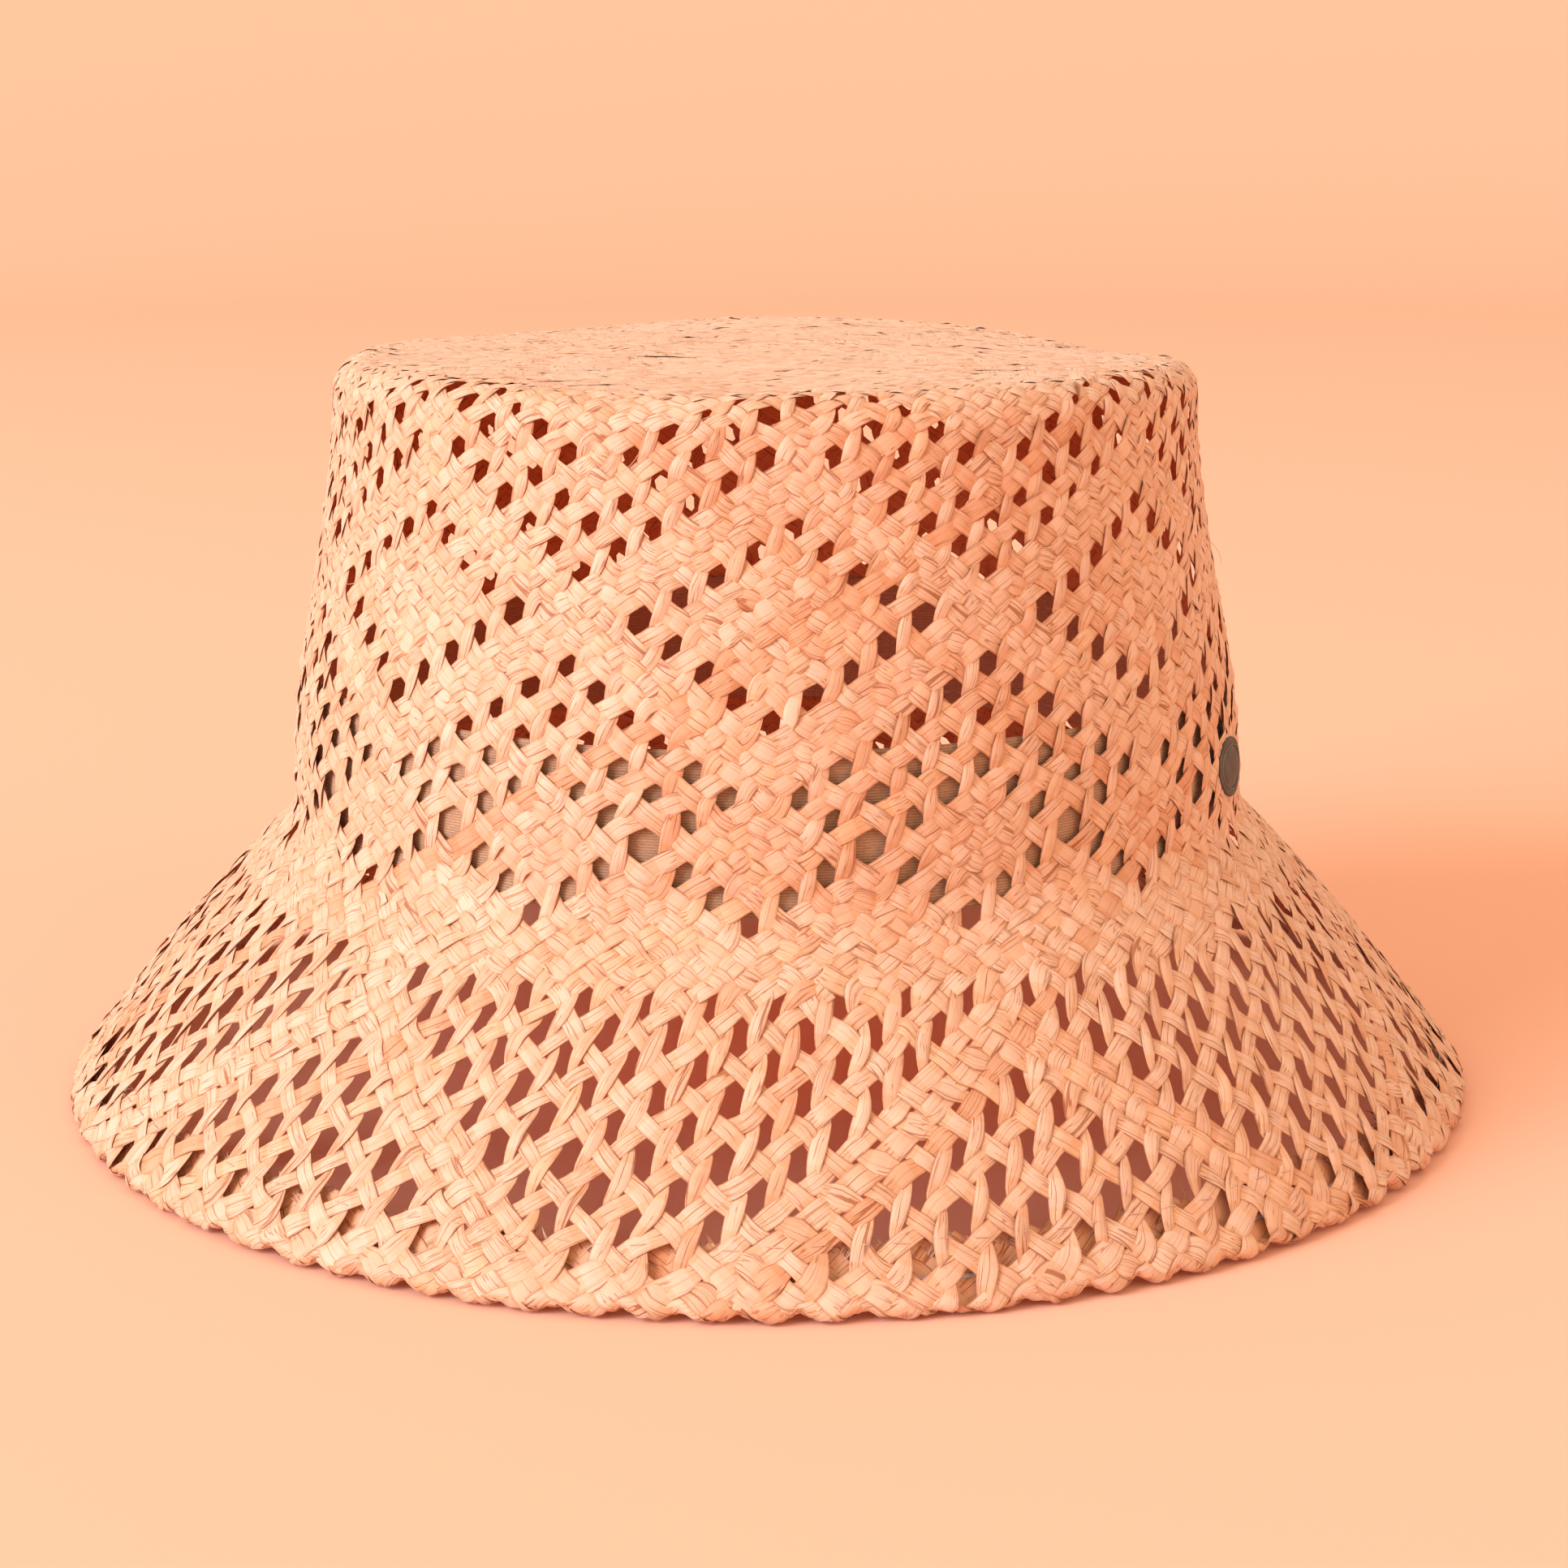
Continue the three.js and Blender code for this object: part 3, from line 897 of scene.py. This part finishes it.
def applyAll(obj):
    # modifiers, then place, turn and size
    bpy.context.view_layer.objects.active = obj
    for modifier in list(obj.modifiers):
        bpy.ops.object.modifier_apply(modifier=modifier.name)
    bpy.ops.object.transform_apply(location=True, rotation=True, scale=True)


def extrudeRing(rise, growth):
    # the chosen ring is drawn up and widened about the hat's axis
    bpy.ops.mesh.extrude_edges_move(TRANSFORM_OT_translate={"value": (0, 0, rise)})
    bpy.ops.transform.resize(value=(growth, growth, 1), center_override=(0, 0, 0))


# The sweatband: a strip of ribbed cloth with a turned hem at its foot and top
band = {
    "foot": 55.4 * mm,
    "height": 28.9 * mm,
    "inside": 1.35 * mm,          # from the weave's middle to the band's outer face
    "thickness": 0.7 * mm,
    "hem": 4.2 * mm,
    "hemStep": 0.16 * mm,
    "hemLip": 0.3 * mm,
    "rows": (3.6 * mm, 7.2 * mm, 10.8 * mm, 17 * mm),    # up from the lower hem
    "turns": 240,
    "pucker": 0.35 * mm,
    "puckerSize": 22 * mm,
    "edgeRound": 0.18 * mm,
    "ribPitch": 0.5 * mm,
    "yarn": (1600, 3, (1, 1, 2.5)),
    "wear": (60, 3),
    # painted shade: darker in the grooves between the ribs, lighter on their crests
    "ribShadeTones": [(0.1, (0.39, 0.215, 0.135)), (0.5, (0.46, 0.27, 0.17)), (0.95, (0.52, 0.32, 0.21))],
    "yarnTones": [(0.3, (0.78, 0.75, 0.72)), (0.6, white)],
    "wearTones": [(0.35, (0.9, 0.87, 0.84)), (0.6, white)],
    "stitchPitch": 3.1 * mm,
    "stitchIn": 0.9 * mm,         # from the hem's line to the stitches
    "stitchLean": 0.04,
    "stitchSize": (1.15 * mm, 0.2 * mm, 0.2 * mm),
    "thread": (0.50, 0.42, 0.37),
}
# All threads: how their twist repeats, and how much darker it is between the plies
thread = {"twist": (2600, 2, (1, 1, 1.6)), "shade": 0.72}


def makeSweatband():
    hem, top, lip = band["hem"], band["height"], band["hemLip"]
    rise = [0, lip, hem - lip, hem, *(hem + up for up in band["rows"]),
            top - hem, top - hem + lip, top - lip, top]
    out = [0, 1, 1, 0, 0, 0, 0, 0, 0, 1, 1, 0]
    reach = [radiusAt(band["foot"] + up) - band["inside"] + step * band["hemStep"]
             for up, step in zip(rise, out)]
    obj = addObject("ribbed_sweatband", bpy.ops.mesh.primitive_circle_add, vertices=band["turns"],
                    radius=reach[0], fill_type="NOTHING", location=(0, 0, band["foot"]))
    startEdit()
    for before, after, low, high in zip(reach, reach[1:], rise, rise[1:]):
        extrudeRing(high - low, after / before)
    endEdit()
    addModifier(obj, "pucker", "DISPLACE", texture=cloudTexture("band_pucker", band["puckerSize"]),
                strength=band["pucker"], mid_level=0.7, texture_coords="LOCAL")
    addModifier(obj, "thickness", "SOLIDIFY", thickness=band["thickness"], offset=-1)
    addModifier(obj, "edges", "BEVEL", width=band["edgeRound"], segments=2, limit_method="ANGLE")
    applyAll(obj)
    bpy.ops.object.shade_smooth_by_angle(angle=math.radians(50))
    return obj


def clothMaterial():
    material, nodes, shader = newMaterial("ribbed_band_cloth")
    place = objectPlace(nodes)
    # ribs run round the band: they follow its height, and lean a little with noise
    wave = addNode(nodes, "TexWave", {"Vector": place, "Scale": 0.314 / band["ribPitch"],
                                      "Distortion": 1.4, "Detail": 2, "Detail Scale": 1.5})
    wave.bands_direction = "Z"
    ribs = wave.outputs["Fac"]
    yarn, wear = (addNoise(nodes, place, *band[key]) for key in ("yarn", "wear"))
    # painted shade between the ribs, from the same wave as their bump
    colour = addRamp(nodes, ribs, band["ribShadeTones"])
    colour = addMix(nodes, colour, addRamp(nodes, yarn, band["yarnTones"]))
    colour = addMix(nodes, colour, addRamp(nodes, wear, band["wearTones"]))
    fine = addBump(nodes, yarn, 0.3, 0.1 * mm)
    setInputs(shader, {"Base Color": colour, "Roughness": 0.88, "Sheen Weight": 0.25,
                       "Specular IOR Level": 0.2, "Normal": addBump(nodes, ribs, 0.5, 0.12 * mm, fine)})
    return material


def threadMaterial(name, colour):
    material, nodes, shader = newMaterial(name)
    twist = addNoise(nodes, objectPlace(nodes), *thread["twist"])
    tones = addRamp(nodes, twist, [(0.3, [thread["shade"] * c for c in colour]), (0.6, colour)])
    setInputs(shader, {"Base Color": tones, "Roughness": 0.6,
                       "Normal": addBump(nodes, twist, 0.5, 0.08 * mm)})
    return material


def sewStitches(name, places, size):
    # one stitch, a long grain that sinks in at both ends, copied to each place and turn
    first = addObject(name, bpy.ops.mesh.primitive_uv_sphere_add, segments=6, ring_count=6, radius=1,
                      rotation=(0, math.pi / 2, 0))
    bpy.ops.object.transform_apply(location=False, rotation=True, scale=False)
    bpy.ops.transform.resize(value=size)
    bpy.ops.object.transform_apply(location=False, rotation=False, scale=True)
    for place in places[1:]:
        stitch = first.copy()
        stitch.data = first.data.copy()
        bpy.context.scene.collection.objects.link(stitch)
        stitch.matrix_world = place
        stitch.select_set(True)
    first.matrix_world = places[0]
    first.select_set(True)
    bpy.context.view_layer.objects.active = first
    bpy.ops.object.join()
    bpy.ops.object.transform_apply(location=True, rotation=True, scale=True)
    bpy.ops.object.shade_smooth()
    return first


def hemStitch(theta, radius, height, lean):
    # a place inside the band, with X along it
    turn = Matrix.Rotation(theta, 4, "Z") @ Matrix.Translation((0, -radius, height))
    return turn @ Matrix.Rotation(lean, 4, "Y")


def stitchAt(point, ahead, aside, outward):
    return Matrix.Translation(point) @ Matrix((ahead, aside, outward)).transposed().to_4x4()


sweatband = makeSweatband()
sweatband.data.materials.append(clothMaterial())
rowCount = int(2 * math.pi * radiusAt(band["foot"]) / band["stitchPitch"])
hemPlaces = []
for up in (band["hem"] - band["stitchIn"], band["height"] - band["hem"] + band["stitchIn"]):
    reach = radiusAt(band["foot"] + up) - band["inside"] - band["thickness"] + band["hemStep"]
    hemPlaces += [hemStitch(2 * math.pi * k / rowCount, reach, band["foot"] + up,
                            band["stitchLean"] * rng.standard_normal()) for k in range(rowCount)]
bandStitches = sewStitches("band_stitches", hemPlaces, band["stitchSize"])
bandStitches.data.materials.append(threadMaterial("band_thread", band["thread"]))
for obj in (sweatband, bandStitches):
    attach(obj, "root")
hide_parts("sweatband")
bandLength = 2 * math.pi * (radiusAt(band["foot"] + band["height"] / 2) - band["inside"])
print("sweatband: flat", round(band["height"] / mm, 1), "by", round(bandLength / mm, 1), "mm")

# The side patch: a soft leather oval, bent to the crown and sewn on all round
patch = {
    "width": 19.6 * mm,
    "height": 11.6 * mm,
    "thickness": 0.7 * mm,
    "azimuth": math.radians(71),
    "middle": 67.5 * mm,
    "tilt": math.radians(-12),
    "off": 0.05 * mm,             # from the weave's middle to the patch's back
    "points": 72,
    # from the rim inwards, the width and rise of each step into and out of the stitches' groove
    "insets": ((0.45 * mm, 0), (0.6 * mm, 0), (0.35 * mm, -0.16 * mm), (0.4 * mm, 0),
               (0.4 * mm, 0.16 * mm)),
    "strips": 12,                 # that the patch bends in
    "rim": 0.3 * mm,
    "border": 1.5 * mm,           # from the outline in to the stitches
    "stitches": 34,
    "stitchSunk": 0.02 * mm,
    "stitchSize": (0.55 * mm, 0.16 * mm, 0.14 * mm),
    "thread": (0.21, 0.17, 0.15),
    "grainTones": [(0.0, (0.72, 0.7, 0.68)), (0.14, white)],
    "cloudTones": [(0.3, (0.05, 0.043, 0.036)), (0.5, (0.075, 0.065, 0.055)), (0.72, (0.115, 0.10, 0.085))],
}


def makePatch():
    obj = addObject("leather_patch", bpy.ops.mesh.primitive_circle_add, vertices=patch["points"],
                    radius=1, fill_type="NGON", rotation=(math.pi / 2, 0, 0))
    bpy.ops.object.transform_apply(location=False, rotation=True, scale=False)
    startEdit()
    bpy.ops.transform.resize(value=(patch["width"] / 2, 1, patch["height"] / 2))
    bpy.ops.mesh.extrude_region_move(TRANSFORM_OT_translate={"value": (0, -patch["thickness"], 0)})
    for thickness, depth in patch["insets"]:
        bpy.ops.mesh.inset(thickness=thickness, depth=depth)
    for k in range(1, patch["strips"]):
        bpy.ops.mesh.select_all(action="SELECT")
        across = patch["width"] * (k / patch["strips"] - 0.5)
        bpy.ops.mesh.bisect(plane_co=(across, 0, 0), plane_no=(1, 0, 0))
    endEdit()
    addModifier(obj, "rim", "BEVEL", width=patch["rim"], segments=3, limit_method="ANGLE",
                angle_limit=math.radians(60))
    return obj


def bentToCrown(x, y, z):
    # a point of the flat patch, bent round the hat's axis and laid on the crown's side
    cosine, sine = math.cos(patch["tilt"]), math.sin(patch["tilt"])
    x, z = x * cosine - z * sine, x * sine + z * cosine
    height = patch["middle"] + z
    reach = radiusAt(height) + patch["off"] - y
    theta = patch["azimuth"] + x / radiusAt(patch["middle"])
    return Vector((reach * math.sin(theta), -reach * math.cos(theta), height))


def patchSeam(turn):
    # a point of the oval line of stitches
    halfWide, halfHigh = (patch[key] / 2 - patch["border"] for key in ("width", "height"))
    return bentToCrown(halfWide * math.cos(turn), patch["stitchSunk"] - patch["thickness"],
                       halfHigh * math.sin(turn))


def leatherMaterial():
    material, nodes, shader = newMaterial("soft_patch_leather")
    place = objectPlace(nodes)
    cells = addNode(nodes, "TexVoronoi", {"Vector": place, "Scale": 1900})
    cells.feature = "DISTANCE_TO_EDGE"
    grain = cells.outputs["Distance"]
    cloudTone = addRamp(nodes, addNoise(nodes, place, 260, 4), patch["cloudTones"])
    colour = addMix(nodes, cloudTone, addRamp(nodes, grain, patch["grainTones"]))
    setInputs(shader, {"Base Color": colour, "Roughness": 0.62, "Specular IOR Level": 0.4,
                       "Normal": addBump(nodes, grain, 0.5, 0.12 * mm)})
    return material


leatherPatch = makePatch()
applyAll(leatherPatch)
for vertex in leatherPatch.data.vertices:
    vertex.co = bentToCrown(*vertex.co)
bpy.ops.object.shade_smooth_by_angle(angle=math.radians(35))
leatherPatch.data.materials.append(leatherMaterial())
patchPlaces = []
for k in range(patch["stitches"]):
    turn = 2 * math.pi * k / patch["stitches"]
    here = patchSeam(turn)
    ahead = (patchSeam(turn + 0.05) - here).normalized()
    outward = Vector((math.sin(patch["azimuth"]), -math.cos(patch["azimuth"]), 0))
    aside = outward.cross(ahead).normalized()
    patchPlaces.append(stitchAt(here, ahead, aside, ahead.cross(aside)))
patchStitches = sewStitches("patch_stitches", patchPlaces, patch["stitchSize"])
patchStitches.data.materials.append(threadMaterial("patch_thread", patch["thread"]))
for obj in (leatherPatch, patchStitches):
    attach(obj, "root")
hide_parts("side_patch")
print("side patch ready")

# The clear cord that stiffens the brim, a little uneven in its fold
cordLow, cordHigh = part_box("edge_cord")
cord = {
    "thick": (cordHigh[2] - cordLow[2]) / 2,
    "share": 0.95,                # of the CAD cord's thickness
    "flattened": 1.1,
    "uneven": 0.25 * mm,
    "unevenSize": 40 * mm,
    "tones": [(0.3, (0.90, 0.82, 0.84)), (0.7, (0.97, 0.91, 0.94))],
}
clearCord = addObject("clear_edge_cord", bpy.ops.mesh.primitive_torus_add, major_segments=280,
                      minor_segments=12, minor_radius=cord["thick"] * cord["share"],
                      major_radius=(cordHigh[0] - cordLow[0]) / 2 - cord["thick"],
                      location=(0, 0, (cordLow[2] + cordHigh[2]) / 2))
bpy.ops.transform.resize(value=(1, 1, cord["flattened"]))
cordClouds = cloudTexture("cord_uneven", cord["unevenSize"])
for axis in "XYZ":
    addModifier(clearCord, "uneven" + axis, "DISPLACE", texture=cordClouds, direction=axis,
                strength=cord["uneven"], texture_coords="LOCAL")
applyAll(clearCord)
bpy.ops.object.shade_smooth()
cordMaterial, nodes, shader = newMaterial("clear_nylon")
cordNoise = addNoise(nodes, objectPlace(nodes), 300, 2)
setInputs(shader, {"Base Color": addRamp(nodes, cordNoise, cord["tones"]), "Roughness": 0.14, "IOR": 1.5,
                   "Transmission Weight": 0.6, "Normal": addBump(nodes, cordNoise, 0.15, 0.2 * mm)})
clearCord.data.materials.append(cordMaterial)
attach(clearCord, "root")
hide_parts("edge_cord")

# The seam that holds the folded edge, a stitch on each crossing of two strands
seam = {"up": 12 * mm, "size": (1.5 * mm, 0.12 * mm, 0.12 * mm), "off": 0.36 * mm, "lean": 0.1,
        "thread": (0.68, 0.40, 0.28)}
seamRow = min(rows, key=lambda row: abs(row["s"] - (edgeAt - seam["up"])))
seamPlaces = []
for theta, place, hole in zip(seamRow["theta"], seamRow["place"], seamRow["hole"]):
    if not hole:
        point, outward = map(Vector, surfaceAt(theta, place))
        ahead = Vector((math.cos(theta), math.sin(theta), 0))
        seamPlaces.append(stitchAt(point + outward * seam["off"], ahead, outward.cross(ahead), outward)
                          @ Matrix.Rotation(seam["lean"] * rng.standard_normal(), 4, "Z"))
edgeStitches = sewStitches("edge_stitches", seamPlaces, seam["size"])
edgeStitches.data.materials.append(threadMaterial("edge_thread", seam["thread"]))
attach(edgeStitches, "root")
print("cord and seam ready")

# Studio: a pale peach bowl, soft lights from the left and the right, and the photo's camera
studio = {
    "floor": (0.84, 0.457, 0.335),
    "floorBelow": 0.2 * mm,
    "floorRadius": 2.0,
    "bendRadius": 1.2,
    "bendAngle": 45,
    "bendSteps": 12,
    "world": (1.0, 0.735, 0.50),
    "worldStrength": 1.11,
    # place, power, size and colour
    "lights": {"key_light": ((-3.6, -2.16, 1.95), 290, 2.6, (0.84, 0.93, 1.0)),
               "fill_light": ((3.2, -1.7, 1.5), 28, 2.4, (1.0, 0.84, 0.74))},
    "aim": Vector((0, 0, 70 * mm)),
    "glowColour": (1.0, 0.17, 0.04),    # the red light that comes through the straw
    "glowPower": 0.058,
    "glowPlace": (0, 0, 75 * mm),
    "glowSize": 45 * mm,
    "cameraPlace": (3.449 * mm, -593.947 * mm, 198.977 * mm),
    "cameraDown": 13.468,
    "cameraRoll": 0.068,
    "lens": 68.944,
    "sensor": 36,
    "clipStart": 10 * mm,
}

# the floor is a disc whose rim is extruded outwards and up in steps
floor = addObject("floor", bpy.ops.mesh.primitive_circle_add, vertices=96, fill_type="NGON",
                  radius=studio["floorRadius"], location=(0, 0, -studio["floorBelow"]))
startEdit()
reach = studio["floorRadius"]
for k in range(studio["bendSteps"]):
    before, after = (math.radians(studio["bendAngle"] * step / studio["bendSteps"]) for step in (k, k + 1))
    newReach = studio["floorRadius"] + studio["bendRadius"] * math.sin(after)
    bpy.ops.mesh.region_to_loop()
    extrudeRing(studio["bendRadius"] * (math.cos(before) - math.cos(after)), newReach / reach)
    reach = newReach
bpy.ops.object.mode_set(mode="OBJECT")
bpy.ops.object.shade_smooth()
floorMaterial, nodes, shader = newMaterial("studio_floor")
setInputs(shader, {"Base Color": (*studio["floor"], 1), "Roughness": 0.9, "Specular IOR Level": 0.1})
floor.data.materials.append(floorMaterial)

world = bpy.data.worlds.new("studio_world")
world.use_nodes = True
setInputs(world.node_tree.nodes["Background"], {"Color": (*studio["world"], 1),
                                                "Strength": studio["worldStrength"]})
bpy.context.scene.world = world

for name, (place, power, size, colour) in studio["lights"].items():
    light = addObject(name, bpy.ops.object.light_add, type="AREA", location=place)
    light.data.energy = power
    light.data.size = size
    light.data.color = colour
    light.rotation_euler = (studio["aim"] - Vector(place)).to_track_quat("-Z", "Y").to_euler()

glow = addObject("glow_through_straw", bpy.ops.object.light_add, type="POINT", location=studio["glowPlace"])
glow.data.energy = studio["glowPower"]
glow.data.shadow_soft_size = studio["glowSize"]
glow.data.color = studio["glowColour"]

camera = addObject("photo_camera", bpy.ops.object.camera_add, location=studio["cameraPlace"],
                   rotation=(math.radians(90 - studio["cameraDown"]),
                             math.radians(studio["cameraRoll"]), 0))
camera.data.lens = studio["lens"]
camera.data.sensor_width = studio["sensor"]
camera.data.clip_start = studio["clipStart"]
bpy.context.scene.camera = camera
bpy.context.scene.view_settings.view_transform = "Standard"
bpy.context.scene.view_settings.look = "None"
print("studio ready")
